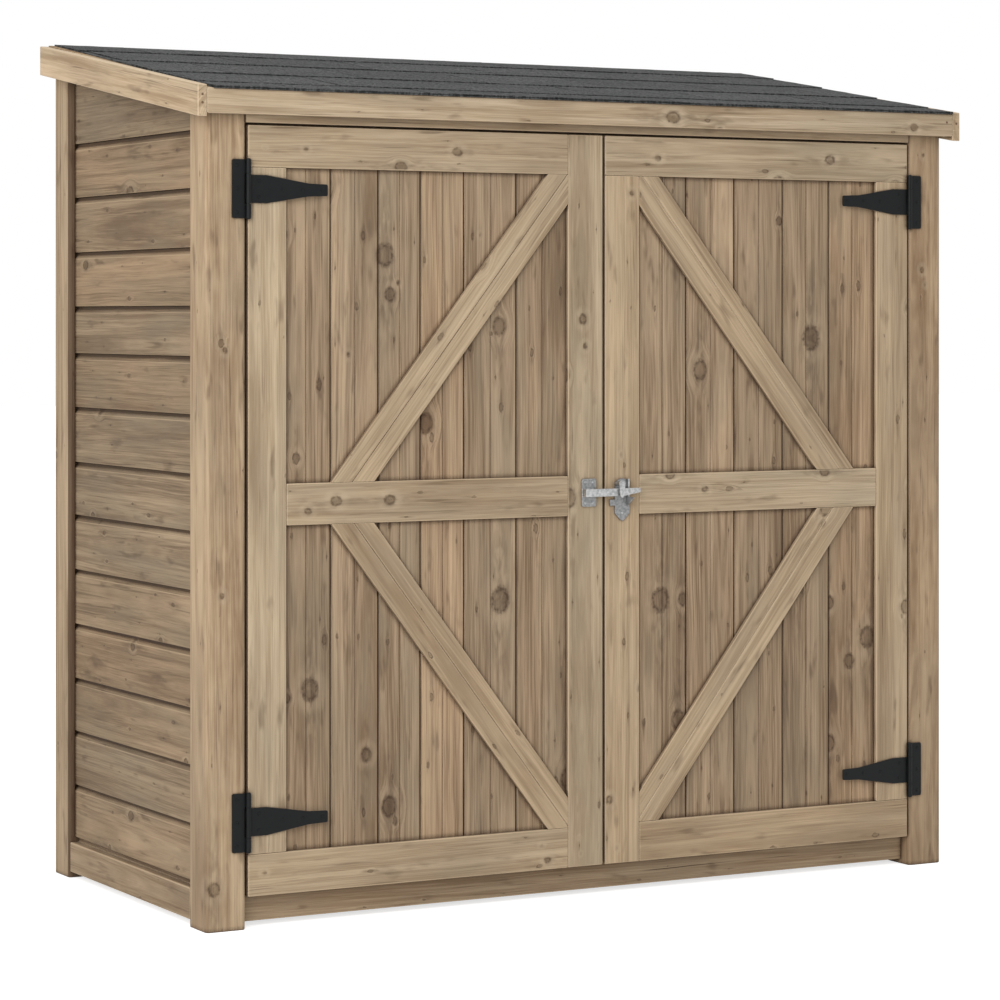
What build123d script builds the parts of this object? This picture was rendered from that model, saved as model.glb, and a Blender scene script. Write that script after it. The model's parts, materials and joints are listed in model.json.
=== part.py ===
"""Lean-to wooden garden shed with a pair of outward doors.

Frame: millimetres, +Z up, +X to the right along the front, +Y from the front to the back.
The origin is on the ground, in the middle of the footprint of the four corner posts.
"""
from build123d import *
import os

os.makedirs("parts", exist_ok=True)

# Overall size, measured over the outer faces of the corner posts
shed_width = 1980.0
shed_depth = 920.0
roof_rise = 153.0

# Corner posts
post_size = 96.0
post_arris = 10.0

# Walls of horizontal boards, slotted into grooves in the posts
wall_thickness = 19.0
wall_recess = 17.0
groove_depth = 15.0
groove_clearance = 0.5

# Base frame: sill, bottom rails, bearers and floor
floor_height = 98.0
floor_thickness = 19.0
rail_width = 45.0
rail_recess = 3.0
rail_ground_gap = 15.0
rail_rebate_height = 12.0
rail_rebate_depth = 22.0
sill_ground_gap = 12.0
bearer_width = 45.0
bearer_pitch = 590.0
bearer_count = 3

# Doorway and leaves
leaf_bottom = 72.0
leaf_top = 1777.5
leaf_gap = 5.0
meeting_gap = 7.0
meeting_gap_x = 22.0
board_thickness = 16.0
frame_thickness = 12.0
frame_width = 93.0
middle_rail_height = 936.0
brace_width = 84.0
brace_run = 557.0
stop_gap = 5.0

# Door stops and the rebated header
stop_width = 20.0
stop_depth = 30.0
header_height = 84.5
header_depth = 78.0
header_overlap = 20.0

# Roof
roof_drop_felt = 2.0
felt_thickness = 5.0
felt_drip = 3.0
deck_thickness = 16.0
purlin_width = 45.0
purlin_height = 70.0
back_beam_height = 90.0
eaves_overhang = 33.0
back_overhang = 10.0
side_overhang = 12.0
fascia_thickness = 22.0
fascia_height = 55.0
barge_thickness = 22.0
barge_height = 70.0

# Tee hinges
hinge_drop_top = 141.5
hinge_rise_bottom = 165.0
hinge_gauge = 3.0
hinge_plate_height = 130.0
hinge_plate_width = 37.0
hinge_corner = 4.0
knuckle_radius = 6.0
knuckle_gap = 1.0
pin_stand_off = 7.0
pin_radius = 3.0
pin_clearance = 0.08
pin_head_radius = 4.5
pin_head_height = 2.0
barrel_length = 66.0
strap_length = 196.0
strap_root_height = 62.0
strap_root_length = 46.0
strap_neck_height = 29.0
strap_neck_length = 150.0
strap_tip_height = 26.0
barrel_clearance = 1.5

# Gate latch: striker bar on the left leaf, keeper and pawl on the right leaf
latch_above_rail = 7.0
latch_gauge = 3.0
striker_x = -20.0
striker_width = 39.0
striker_height = 65.0
striker_corner = 5.0
saddle_width = 30.0
bar_stand_off = 14.0
bar_thickness = 6.0
bar_height = 18.0
bar_left_x = -38.0
bar_right_x = 110.0
bar_taper_length = 45.0
bar_tip_height = 10.0
keeper_x = 70.0
keeper_width = 40.0
keeper_top_height = 31.0
keeper_shoulder_depth = 50.0
keeper_point_depth = 71.0
keeper_point_radius = 7.0
lug_width = 14.0
lug_height = 14.0
lug_drop = 18.0
cheek_thickness = 4.0
cheek_inset = 4.0
cheek_reach = 34.0
cheek_top = 30.0
cheek_bottom = 38.0
notch_clearance = 3.0
notch_back = 10.0
pawl_rivet_inset = 6.0
pawl_rivet_rise = 20.0
pawl_rivet_radius = 4.0
pawl_collar_radius = 5.5
pawl_head_radius = 6.5
pawl_head_height = 2.0
pawl_play = 0.3
pawl_stand_off = 25.0
pawl_thickness = 3.0
pawl_half_width = 8.0
pawl_reach = 25.0

# Places that follow from the sizes above
x_side = shed_width / 2
y_front = -shed_depth / 2
y_back = shed_depth / 2
x_post = x_side - post_size
roof_height_front = leaf_top + leaf_gap + header_height
roof_height_back = roof_height_front + roof_rise
roof_slope = roof_rise / shed_depth
leaf_thickness = frame_thickness + board_thickness
y_stop = y_front + leaf_thickness + stop_gap
x_leaf = x_post - leaf_gap
x_pin = x_post - leaf_gap / 2
y_pin = y_front - pin_stand_off
x_wall = x_side - wall_recess
y_wall = y_back - wall_recess
x_rail = x_side - rail_recess
y_rail = y_back - rail_recess
x_deck = x_side + side_overhang
drop_deck_top = roof_drop_felt + felt_thickness
drop_deck_under = drop_deck_top + deck_thickness
groove_width = wall_thickness + 2 * groove_clearance
header_bottom = leaf_top + leaf_gap
stop_top = leaf_top - header_overlap
left_meeting_x = meeting_gap_x - meeting_gap / 2
right_meeting_x = meeting_gap_x + meeting_gap / 2
hinge_heights = (leaf_bottom + hinge_rise_bottom, leaf_top - hinge_drop_top)
latch_height = middle_rail_height + latch_above_rail


def roof_z(y, drop=0.0):
    """Height of the roof's top line at a depth y, less a drop."""
    return roof_height_front + roof_slope * (y - y_front) - drop


def under_deck():
    """Plane of the deck's underside, which the posts and walls are cut to."""
    return Plane(origin=(0, y_front, roof_z(y_front, drop_deck_under)), x_dir=(1, 0, 0), z_dir=(0, -roof_slope, 1))


def save(piece, name):
    """Label a finished piece and write its file."""
    piece.part.label = name
    export_step(piece.part, f"parts/{name}.step")


def side_view(x_low, x_high, outline):
    """Solid whose outline is drawn in the side view as (y, z) points, from x_low to x_high."""
    with BuildPart() as piece:
        with BuildSketch(Plane.YZ.offset(x_low)):
            with BuildLine():
                Polyline(*outline, close=True)
            make_face()
        extrude(amount=x_high - x_low)
    return piece


def front_view(y_low, y_high, x_low, x_high, z_low, z_high):
    """Board that stands between two depths, given by its front view."""
    with BuildPart() as piece:
        with BuildSketch(Plane.XZ.offset(-y_high)):
            with Locations(((x_low + x_high) / 2, (z_low + z_high) / 2)):
                Rectangle(x_high - x_low, z_high - z_low)
        extrude(amount=y_high - y_low)
    return piece


def to_deck(y_low, y_high, z_low):
    """Side outline with a level foot, upright ends and a top cut to the deck's underside."""
    return [
        (y_low, z_low),
        (y_high, z_low),
        (y_high, roof_z(y_high, drop_deck_under)),
        (y_low, roof_z(y_low, drop_deck_under)),
    ]


def along_roof(y_low, y_high, drop_top, drop_bottom):
    """Side outline of a sheet or board that follows the roof, with upright ends."""
    return [
        (y_low, roof_z(y_low, drop_bottom)),
        (y_high, roof_z(y_high, drop_bottom)),
        (y_high, roof_z(y_high, drop_top)),
        (y_low, roof_z(y_low, drop_top)),
    ]


def corner_post(side, end):
    """Square post with rounded corners, grooved for the walls and cut to the roof's slope."""
    with BuildPart() as post:
        with BuildSketch():
            with Locations((side * (x_side - post_size / 2), end * (y_back - post_size / 2))):
                RectangleRounded(post_size, post_size, post_arris)
        extrude(amount=roof_height_back)
        with BuildSketch(Plane.XY.offset(floor_height)):
            with Locations((side * (x_wall - wall_thickness / 2), end * (y_back - post_size + groove_depth / 2))):
                Rectangle(groove_width, groove_depth)
            if end > 0:
                with Locations((side * (x_post + groove_depth / 2), y_wall - wall_thickness / 2)):
                    Rectangle(groove_depth, groove_width)
        extrude(amount=roof_height_back, mode=Mode.SUBTRACT)
        split(bisect_by=under_deck(), keep=Keep.BOTTOM)
    return post


# Four corner posts that stand on the ground and carry the roof
for side, side_name in ((-1, "left"), (1, "right")):
    for end, end_name in ((-1, "front"), (1, "back")):
        save(corner_post(side, end), f"post_{end_name}_{side_name}")

# Front sill behind the foot of the doors
y_sill_back = y_stop + rail_width
save(front_view(y_stop, y_sill_back, -x_post, x_post, sill_ground_gap, floor_height), "sill_front")


def bottom_rail_section(outer, inward):
    """Rail section seen from its end, with a rebate that sets the rail's lip off from the lowest board."""
    return [
        (outer, rail_ground_gap),
        (outer, floor_height - rail_rebate_height),
        (outer + inward * rail_rebate_depth, floor_height - rail_rebate_height),
        (outer + inward * rail_rebate_depth, floor_height),
        (outer + inward * rail_width, floor_height),
        (outer + inward * rail_width, rail_ground_gap),
    ]


# Bottom rails under the two side walls
y_post_front = y_front + post_size
y_post_back = y_back - post_size
for side, side_name in ((-1, "left"), (1, "right")):
    with BuildPart() as bottom_rail:
        with BuildSketch(Plane.XZ.offset(-y_post_back)):
            with BuildLine():
                Polyline(*bottom_rail_section(side * x_rail, -side), close=True)
            make_face()
        extrude(amount=y_post_back - y_post_front)
    save(bottom_rail, f"bottom_rail_{side_name}")

# Bottom rail under the back wall
save(side_view(-x_post, x_post, bottom_rail_section(y_rail, -1)), "bottom_rail_back")

# Bearers on the ground, from the sill to the back rail
y_bearer_back = y_rail - rail_width
with BuildPart() as floor_bearers:
    with BuildSketch():
        with Locations((0, (y_sill_back + y_bearer_back) / 2)):
            with GridLocations(bearer_pitch, 1, bearer_count, 1):
                Rectangle(bearer_width, y_bearer_back - y_sill_back)
    extrude(amount=floor_height - floor_thickness)
save(floor_bearers, "floor_bearers")

# Boarded floor between the rails, notched around the posts
x_floor = x_rail - rail_width
with BuildPart() as floor:
    with BuildSketch(Plane.XY.offset(floor_height - floor_thickness)):
        with Locations((0, (y_sill_back + y_bearer_back) / 2)):
            Rectangle(2 * x_floor, y_bearer_back - y_sill_back)
        with Locations(*[(side * (x_side - post_size / 2), end * (y_back - post_size / 2))
                         for side in (-1, 1) for end in (-1, 1)]):
            Rectangle(post_size, post_size, mode=Mode.SUBTRACT)
    extrude(amount=floor_thickness)
save(floor, "floor")

# Side walls, from the bottom rail to the deck, with their ends in the posts' grooves
y_wall_low = y_post_front - groove_depth
y_wall_high = y_post_back + groove_depth
for side, side_name in ((-1, "left"), (1, "right")):
    x_inner, x_outer = sorted((side * (x_wall - wall_thickness), side * x_wall))
    save(side_view(x_inner, x_outer, to_deck(y_wall_low, y_wall_high, floor_height)), f"wall_{side_name}")

# Back wall
x_back_wall = x_post + groove_depth
save(side_view(-x_back_wall, x_back_wall, to_deck(y_wall - wall_thickness, y_wall, floor_height)), "wall_back")

# Header over the doors: a lip above the leaves and a rebate behind them
y_header_back = y_front + header_depth
header_outline = [
    (y_front, header_bottom),
    (y_stop, header_bottom),
    (y_stop, stop_top),
    (y_header_back, stop_top),
    (y_header_back, roof_z(y_header_back, drop_deck_under)),
    (y_front, roof_z(y_front, drop_deck_under)),
]
save(side_view(-x_post, x_post, header_outline), "header_front")

# Door stops on the inner faces of the front posts
with BuildPart() as door_stops:
    with BuildSketch(Plane.XY.offset(floor_height)):
        with Locations(*[(side * (x_post - stop_width / 2), y_stop + stop_depth / 2) for side in (-1, 1)]):
            Rectangle(stop_width, stop_depth)
    extrude(amount=stop_top - floor_height)
save(door_stops, "door_stops")

# Beam along the top of the back wall, and the purlin half way up the roof
y_beam_back = y_wall - wall_thickness
y_beam_front = y_beam_back - rail_width
save(side_view(-x_post, x_post, along_roof(y_beam_front, y_beam_back, drop_deck_under,
                                           drop_deck_under + back_beam_height)), "beam_back")
x_purlin = x_wall - wall_thickness
save(side_view(-x_purlin, x_purlin, along_roof(-purlin_width / 2, purlin_width / 2, drop_deck_under,
                                               drop_deck_under + purlin_height)), "roof_purlin")

# Roof: boarded deck, felt, fascia at the eaves and a bargeboard on each side
y_fascia = y_front - eaves_overhang
y_deck_front = y_fascia + fascia_thickness
y_roof_back = y_back + back_overhang
save(side_view(-x_deck, x_deck, along_roof(y_deck_front, y_roof_back, drop_deck_top, drop_deck_under)), "roof_deck")
save(side_view(-x_deck, x_deck, along_roof(y_fascia - felt_drip, y_roof_back, roof_drop_felt, drop_deck_top)),
     "roof_felt")
fascia_bottom = roof_z(y_fascia, drop_deck_top) - fascia_height
fascia_outline = [
    (y_fascia, fascia_bottom),
    (y_deck_front, fascia_bottom),
    (y_deck_front, roof_z(y_deck_front, drop_deck_top)),
    (y_fascia, roof_z(y_fascia, drop_deck_top)),
]
save(side_view(-x_deck, x_deck, fascia_outline), "fascia_front")
for side, side_name in ((-1, "left"), (1, "right")):
    x_inner, x_outer = sorted((side * x_deck, side * (x_deck + barge_thickness)))
    save(side_view(x_inner, x_outer, along_roof(y_fascia, y_roof_back, 0.0, barge_height)), f"barge_{side_name}")


def hinge_plates(side):
    """The two post plates of one leaf's tee hinges, with their outer knuckles and pins."""
    with BuildPart() as plates:
        for height in hinge_heights:
            z_low = height - hinge_plate_height / 2
            with BuildSketch(Plane.XZ.offset(-y_front)) as plate_outline:
                with Locations((side * (x_pin + hinge_plate_width / 2), height)):
                    Rectangle(hinge_plate_width, hinge_plate_height)
                fillet(plate_outline.vertices().group_by(Axis.X)[0 if side < 0 else -1], hinge_corner)
                with Locations((side * x_pin, height)):
                    Rectangle(2 * (knuckle_radius + barrel_clearance), barrel_length + 2 * knuckle_gap,
                              mode=Mode.SUBTRACT)
            extrude(amount=hinge_gauge)
            knuckle_length = (hinge_plate_height - barrel_length) / 2 - knuckle_gap
            for z_knuckle in (z_low, z_low + hinge_plate_height - knuckle_length):
                with BuildSketch(Plane.XY.offset(z_knuckle)):
                    with Locations((side * x_pin, y_pin)):
                        Circle(knuckle_radius)
                extrude(amount=knuckle_length)
            with BuildSketch(Plane.XY.offset(z_low)):
                with Locations((side * x_pin, y_pin)):
                    Circle(pin_radius)
            extrude(amount=hinge_plate_height)
            for z_head in (z_low - pin_head_height, z_low + hinge_plate_height):
                with BuildSketch(Plane.XY.offset(z_head)):
                    with Locations((side * x_pin, y_pin)):
                        Circle(pin_head_radius)
                extrude(amount=pin_head_height)
    return plates


def hinge_straps(side):
    """The two tapered straps of one leaf's tee hinges, each rolled into a barrel around its pin."""
    inward = -side
    with BuildPart() as straps:
        for height in hinge_heights:
            half_outline = [
                (0.0, strap_root_height / 2),
                (strap_root_length, strap_root_height / 2),
                (strap_neck_length, strap_neck_height / 2),
                (strap_length, strap_tip_height / 2),
            ]
            lower_outline = [(run, -half) for run, half in reversed(half_outline)]
            points = [(side * x_pin + inward * run, height + half) for run, half in half_outline + lower_outline]
            with BuildSketch(Plane.XZ.offset(-y_front)) as strap_outline:
                with BuildLine():
                    Polyline(*points, close=True)
                make_face()
                fillet(strap_outline.vertices().group_by(Axis.X)[-1 if side < 0 else 0], hinge_corner)
            extrude(amount=hinge_gauge)
            with BuildSketch(Plane.XY.offset(height - barrel_length / 2)):
                with Locations((side * x_pin, y_pin)):
                    Circle(knuckle_radius)
            extrude(amount=barrel_length)
            with BuildSketch(Plane.XY.offset(height - barrel_length / 2)):
                with Locations((side * x_pin, y_pin)):
                    Circle(pin_radius + pin_clearance)
            extrude(amount=barrel_length, mode=Mode.SUBTRACT)
    return straps


def door_braces(x_foot, x_corner, panels, y_low, y_high):
    """Two raking braces from the middle rail to the meeting stile's corners, cut to the panels."""
    x_centre = (x_corner + x_foot) / 2
    with BuildPart() as braces:
        for z_low, z_high, z_foot, z_corner in panels:
            run = Vector(x_corner - x_foot, z_corner - z_foot)
            with BuildSketch(Plane.XZ.offset(-y_high)):
                with Locations((x_centre, (z_low + z_high) / 2)):
                    Rectangle(2 * run.length, brace_width, rotation=run.get_signed_angle(Vector(1, 0)))
                with Locations((x_foot, (z_low + z_high) / 2)):
                    Rectangle(2 * abs(run.X), z_high - z_low, mode=Mode.INTERSECT)
            extrude(amount=y_high - y_low)
    return braces


def door_leaf(name, side, x_meeting, stile_to_top):
    """One ledged, framed and braced leaf; its frame stands proud of upright boards."""
    x_hinge = side * x_leaf
    inward = -side
    x_hinge_stile = x_hinge + inward * frame_width
    x_meeting_stile = x_meeting - inward * frame_width
    z_bottom_rail = leaf_bottom + frame_width
    z_top_rail = leaf_top - frame_width
    z_middle_low = middle_rail_height - frame_width / 2
    z_middle_high = middle_rail_height + frame_width / 2
    y_face = y_front + frame_thickness

    def frame_member(x_one, x_two, z_low, z_high, member):
        """Save one board of the frame."""
        x_low, x_high = sorted((x_one, x_two))
        save(front_view(y_front, y_face, x_low, x_high, z_low, z_high), f"{name}_{member}")

    x_low, x_high = sorted((x_hinge, x_meeting))
    save(front_view(y_face, y_face + board_thickness, x_low, x_high, leaf_bottom, leaf_top), f"{name}_boards")
    frame_member(x_hinge, x_meeting_stile if stile_to_top else x_meeting, z_top_rail, leaf_top, "top_rail")
    frame_member(x_hinge_stile, x_meeting_stile, z_middle_low, z_middle_high, "middle_rail")
    frame_member(x_hinge, x_meeting_stile, leaf_bottom, z_bottom_rail, "bottom_rail")
    frame_member(x_hinge, x_hinge_stile, z_bottom_rail, z_top_rail, "hinge_stile")
    frame_member(x_meeting_stile, x_meeting, leaf_bottom, leaf_top if stile_to_top else z_top_rail, "meeting_stile")
    panels = [
        (z_bottom_rail, z_middle_low, z_middle_low, z_bottom_rail),
        (z_middle_high, z_top_rail, z_middle_high, z_top_rail),
    ]
    x_foot = x_meeting_stile - inward * brace_run
    save(door_braces(x_foot, x_meeting_stile, panels, y_front, y_face), f"{name}_braces")


# Left leaf, whose meeting stile runs to the top, and right leaf, whose top rail runs over it
door_leaf("left_door", -1, left_meeting_x, stile_to_top=True)
door_leaf("right_door", 1, right_meeting_x, stile_to_top=False)

# Four tee hinges
for side, side_name in ((-1, "left"), (1, "right")):
    save(hinge_plates(side), f"hinge_plates_{side_name}")
    save(hinge_straps(side), f"hinge_straps_{side_name}")

# Striker: a plate on the left leaf's meeting stile, with a saddle that carries the bar across the gap
with BuildPart() as latch_striker:
    with BuildSketch(Plane.XZ.offset(-y_front)):
        with Locations((striker_x, latch_height)):
            RectangleRounded(striker_width, striker_height, striker_corner)
    extrude(amount=latch_gauge)
    with BuildSketch(Plane.XZ.offset(-y_front)):
        with Locations((bar_left_x + saddle_width / 2, latch_height)):
            Rectangle(saddle_width, bar_height)
    extrude(amount=bar_stand_off)
    with BuildSketch(Plane.XZ.offset(-y_front + bar_stand_off)):
        with BuildLine():
            Polyline(
                (bar_left_x, latch_height - bar_height / 2),
                (bar_right_x - bar_taper_length, latch_height - bar_height / 2),
                (bar_right_x, latch_height + bar_height / 2 - bar_tip_height),
                (bar_right_x, latch_height + bar_height / 2),
                (bar_left_x, latch_height + bar_height / 2),
                close=True,
            )
        make_face()
    extrude(amount=bar_thickness)
save(latch_striker, "latch_striker")

# Keeper: a pointed plate on the right leaf, with a notched cheek that the bar lies in and the pawl's rivet
x_keeper_low = keeper_x - keeper_width / 2
x_keeper_high = keeper_x + keeper_width / 2
z_lobe = latch_height + keeper_top_height - keeper_width / 2
z_shoulder = latch_height - keeper_shoulder_depth
z_notch_low = latch_height - bar_height / 2 - notch_clearance
z_notch_high = latch_height + bar_height / 2 + notch_clearance
pawl_rivet = (x_keeper_low + pawl_rivet_inset, latch_height + pawl_rivet_rise)
pawl_front = pawl_stand_off + pawl_thickness
with BuildPart() as latch_keeper:
    with BuildSketch(Plane.XZ.offset(-y_front)) as keeper_outline:
        with BuildLine():
            left_line = Line((x_keeper_low, z_lobe), (x_keeper_low, z_shoulder))
            point_line = Polyline(left_line @ 1, (keeper_x, latch_height - keeper_point_depth), (x_keeper_high, z_shoulder))
            right_line = Line(point_line @ 1, (x_keeper_high, z_lobe))
            ThreePointArc(right_line @ 1, (keeper_x, z_lobe + keeper_width / 2), left_line @ 0)
        make_face()
        fillet(keeper_outline.vertices().sort_by(Axis.Y)[0], keeper_point_radius)
        with Locations((x_keeper_low - lug_width / 2, latch_height - lug_drop - lug_height / 2)):
            Rectangle(lug_width, lug_height)
    extrude(amount=latch_gauge)
    with BuildSketch(Plane.YZ.offset(x_keeper_high - cheek_inset - cheek_thickness)):
        with BuildLine():
            Polyline(
                (y_front, latch_height + cheek_top),
                (y_front - cheek_reach, latch_height + cheek_top),
                (y_front - cheek_reach, z_notch_high),
                (y_front - notch_back, z_notch_high),
                (y_front - notch_back, z_notch_low),
                (y_front - cheek_reach, z_notch_low),
                (y_front, latch_height - cheek_bottom),
                close=True,
            )
        make_face()
    extrude(amount=cheek_thickness)
    with BuildSketch(Plane.XZ.offset(-y_front)):
        with Locations(pawl_rivet):
            Circle(pawl_collar_radius)
    extrude(amount=pawl_stand_off - pawl_play)
    with BuildSketch(Plane.XZ.offset(-y_front)):
        with Locations(pawl_rivet):
            Circle(pawl_rivet_radius)
    extrude(amount=pawl_front + pawl_play)
    with BuildSketch(Plane.XZ.offset(-y_front + pawl_front + pawl_play)):
        with Locations(pawl_rivet):
            Circle(pawl_head_radius)
    extrude(amount=pawl_head_height)
save(latch_keeper, "latch_keeper")

# Pawl: a tongue that hangs from the rivet in front of the bar and swings aside to let it out
with BuildPart() as latch_pawl:
    with BuildSketch(Plane.XZ.offset(-y_front + pawl_stand_off)):
        with Locations((pawl_rivet[0], pawl_rivet[1] - pawl_reach / 2)):
            SlotCenterToCenter(pawl_reach, 2 * pawl_half_width, rotation=90)
        with Locations(pawl_rivet):
            Circle(pawl_rivet_radius + pin_clearance, mode=Mode.SUBTRACT)
    extrude(amount=pawl_thickness)
save(latch_pawl, "latch_pawl")
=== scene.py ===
# %% [markdown]
# # A lean-to garden shed, dressed in Blender
#
# The shed's solids were made in a CAD program and packed as a fixed frame. This file puts the real
# surfaces on that frame: every board, strip of felt, screw and nail, and the look of weathered
# softwood, mineral felt, black iron and zinc. Lengths are in metres, Z is up, X runs along the
# front and Y from the doors to the back wall. Each step has a note that says what the piece is on
# the real shed and why it is made the way it is.

# %% Load the frame
import json
import math
import random

import bmesh
import bpy
import numpy as np
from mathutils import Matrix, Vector

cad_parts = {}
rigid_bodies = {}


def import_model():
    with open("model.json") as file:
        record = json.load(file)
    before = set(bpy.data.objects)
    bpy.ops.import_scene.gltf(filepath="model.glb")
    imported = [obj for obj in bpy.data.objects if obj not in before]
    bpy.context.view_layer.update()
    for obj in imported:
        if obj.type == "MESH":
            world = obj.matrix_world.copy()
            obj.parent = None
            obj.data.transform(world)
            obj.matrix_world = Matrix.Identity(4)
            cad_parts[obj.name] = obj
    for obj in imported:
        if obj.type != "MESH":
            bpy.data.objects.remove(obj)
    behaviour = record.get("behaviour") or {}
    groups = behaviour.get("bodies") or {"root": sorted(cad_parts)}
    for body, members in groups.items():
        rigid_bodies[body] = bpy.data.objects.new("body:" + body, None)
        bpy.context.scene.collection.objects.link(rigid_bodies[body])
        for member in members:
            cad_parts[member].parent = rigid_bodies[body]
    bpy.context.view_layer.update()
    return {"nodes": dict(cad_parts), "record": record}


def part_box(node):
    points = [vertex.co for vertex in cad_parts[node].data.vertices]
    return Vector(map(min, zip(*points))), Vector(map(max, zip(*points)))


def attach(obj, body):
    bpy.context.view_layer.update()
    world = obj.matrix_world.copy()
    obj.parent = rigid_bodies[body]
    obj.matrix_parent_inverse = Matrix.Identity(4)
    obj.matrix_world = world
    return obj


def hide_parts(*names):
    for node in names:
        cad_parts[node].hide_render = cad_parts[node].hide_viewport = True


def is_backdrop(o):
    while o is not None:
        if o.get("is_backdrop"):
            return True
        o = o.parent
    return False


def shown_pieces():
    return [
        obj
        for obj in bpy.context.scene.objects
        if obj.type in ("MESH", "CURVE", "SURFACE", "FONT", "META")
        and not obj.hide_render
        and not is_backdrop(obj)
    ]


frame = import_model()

record = frame["record"]
slot_of = {part["node"]: part["material_slot"] for part in record["subparts"]}
body_of = {node: body for body, nodes in record["behaviour"]["bodies"].items() for node in nodes}

# %% [markdown]
# ## Choosing what an operator acts on
#
# Blender's operators act on all that is selected, and the frame arrives with every node selected.
# Two small helpers keep this tidy: one selects whole objects, the other selects the points, edges
# or faces of the object being edited, by their place or direction. By hand this is a box select
# in a side view; in a script a test on coordinates is more exact.

# %% Selecting objects and their parts
X_AXIS, Y_AXIS, Z_AXIS = Vector((1, 0, 0)), Vector((0, 1, 0)), Vector((0, 0, 1))


def only(*objects):
    """Selects these objects alone, the last one active."""
    bpy.ops.object.select_all(action="DESELECT")
    for one in objects:
        one.select_set(True)
    bpy.context.view_layer.objects.active = objects[-1]


def pick(piece, kind, test):
    """In edit mode, selects the points, edges or faces whose middle (and normal) pass a test."""
    bpy.ops.mesh.select_mode(type=kind)
    bpy.ops.mesh.select_all(action="DESELECT")
    shape = bmesh.from_edit_mesh(piece.data)
    found = 0
    if kind == "VERT":
        for point in shape.verts:
            point.select_set(test(point.co))
            found += point.select
    elif kind == "EDGE":
        for edge in shape.edges:
            one, other = edge.verts
            chosen = test((one.co + other.co) / 2, (other.co - one.co).normalized())
            edge.select_set(chosen)
            found += chosen
    else:
        for face in shape.faces:
            chosen = test(face.calc_center_median(), face.normal)
            face.select_set(chosen)
            found += chosen
    shape.select_flush_mode()
    bmesh.update_edit_mesh(piece.data)
    return found


# %% [markdown]
# ## Carrying marks from the picture to the shed
#
# Some places can only be read off the photo: the larger knots, the joints between the doors'
# boards and the shadow lines of the left wall. Each is noted as a column and a row of the picture.
# The camera stands level, and its place, turn and lens were fitted to the shed's straight edges.
# So a mark can be carried back along its line of sight, to the flat face that it lies on. The
# knots were marked one by one. The joints and the shadow lines are the darkest columns and rows
# that a search of the picture found.

# %% Marks from the picture
PICTURE_SIZE = 1000
CAMERA_PLACE = (-3.9065, -7.1385, 1.3536)
CAMERA_TURN = math.radians(28.665)
LENS, SENSOR, LENS_SHIFT = 119.135, 36, -0.1833
FRAME_FACE, BOARD_FACE, WALL_FACE = -0.460, -0.448, -0.973


def line_of_sight(column, row):
    """The direction in which the camera sees a mark, one metre deep."""
    scale = LENS / SENSOR * PICTURE_SIZE
    aside = (column - PICTURE_SIZE / 2) / scale
    up = (PICTURE_SIZE / 2 + LENS_SHIFT * PICTURE_SIZE - row) / scale
    sine, cosine = math.sin(CAMERA_TURN), math.cos(CAMERA_TURN)
    return sine + cosine * aside, cosine - sine * aside, up


def carried(column, row, axis, face):
    """Where a mark lies on the face at this place along axis 0 (X) or 1 (Y)."""
    sight = line_of_sight(column, row)
    depth = (face - CAMERA_PLACE[axis]) / sight[axis]
    return [place + depth * step for place, step in zip(CAMERA_PLACE, sight)]


corner = carried(207.2, 933.7, 1, FRAME_FACE)
print("The foot of the front left post is seen at", [round(place, 3) for place in corner])

# %% [markdown]
# ## Starting a board from its solid
#
# A sawn board could be a cube stretched to size, but the frame already holds each timber with its
# slopes and notches. So a piece starts as a copy of the solid's mesh, with its loose triangles
# merged into flat faces, and is then cut and shaped like timber on a bench: bisect is the saw,
# and a bevel modifier is the plane that takes the arris off.

# %% Copying, sawing and joining
def copy_of(node, name):
    """An unparented copy of a node's mesh, merged into clean flat faces."""
    mesh = frame["nodes"][node].data.copy()
    mesh.materials.clear()
    for layer in list(mesh.uv_layers):
        mesh.uv_layers.remove(layer)
    piece = bpy.data.objects.new(name, mesh)
    bpy.context.scene.collection.objects.link(piece)
    only(piece)
    bpy.ops.mesh.customdata_custom_splitnormals_clear()
    bpy.ops.object.mode_set(mode="EDIT")
    bpy.ops.mesh.select_mode(type="VERT")
    bpy.ops.mesh.select_all(action="SELECT")
    bpy.ops.mesh.remove_doubles(threshold=1e-5)
    bpy.ops.mesh.dissolve_limited(angle_limit=math.radians(0.5))
    bpy.ops.object.mode_set(mode="OBJECT")
    return piece


def twin(piece, name):
    """A second object with its own mesh."""
    made = bpy.data.objects.new(name, piece.data.copy())
    bpy.context.scene.collection.objects.link(made)
    return made


def saw(piece, place, direction, keep="both"):
    """Cuts across a piece at a plane; keep says which side stays: above, below or both."""
    only(piece)
    bpy.ops.object.mode_set(mode="EDIT")
    bpy.ops.mesh.select_mode(type="VERT")
    bpy.ops.mesh.select_all(action="SELECT")
    bpy.ops.mesh.bisect(
        plane_co=place, plane_no=direction, use_fill=keep != "both",
        clear_inner=keep == "above", clear_outer=keep == "below", threshold=1e-6,
    )
    bpy.ops.object.mode_set(mode="OBJECT")


def slab(solid, name, direction, low, high):
    """The stretch of a solid between two places along a direction, as a new closed piece."""
    piece = twin(solid, name)
    reach = [point.co.dot(direction) for point in piece.data.vertices]
    if low > min(reach) + 1e-5:
        saw(piece, direction * low, direction, keep="above")
    if high < max(reach) - 1e-5:
        saw(piece, direction * high, direction, keep="below")
    return piece


def loose_parts(piece):
    """Splits a piece into its separate bodies."""
    only(piece)
    bpy.ops.mesh.separate(type="LOOSE")
    return sorted(bpy.context.selected_objects, key=lambda one: tuple(np.round(middle_of(one), 4)))


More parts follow.
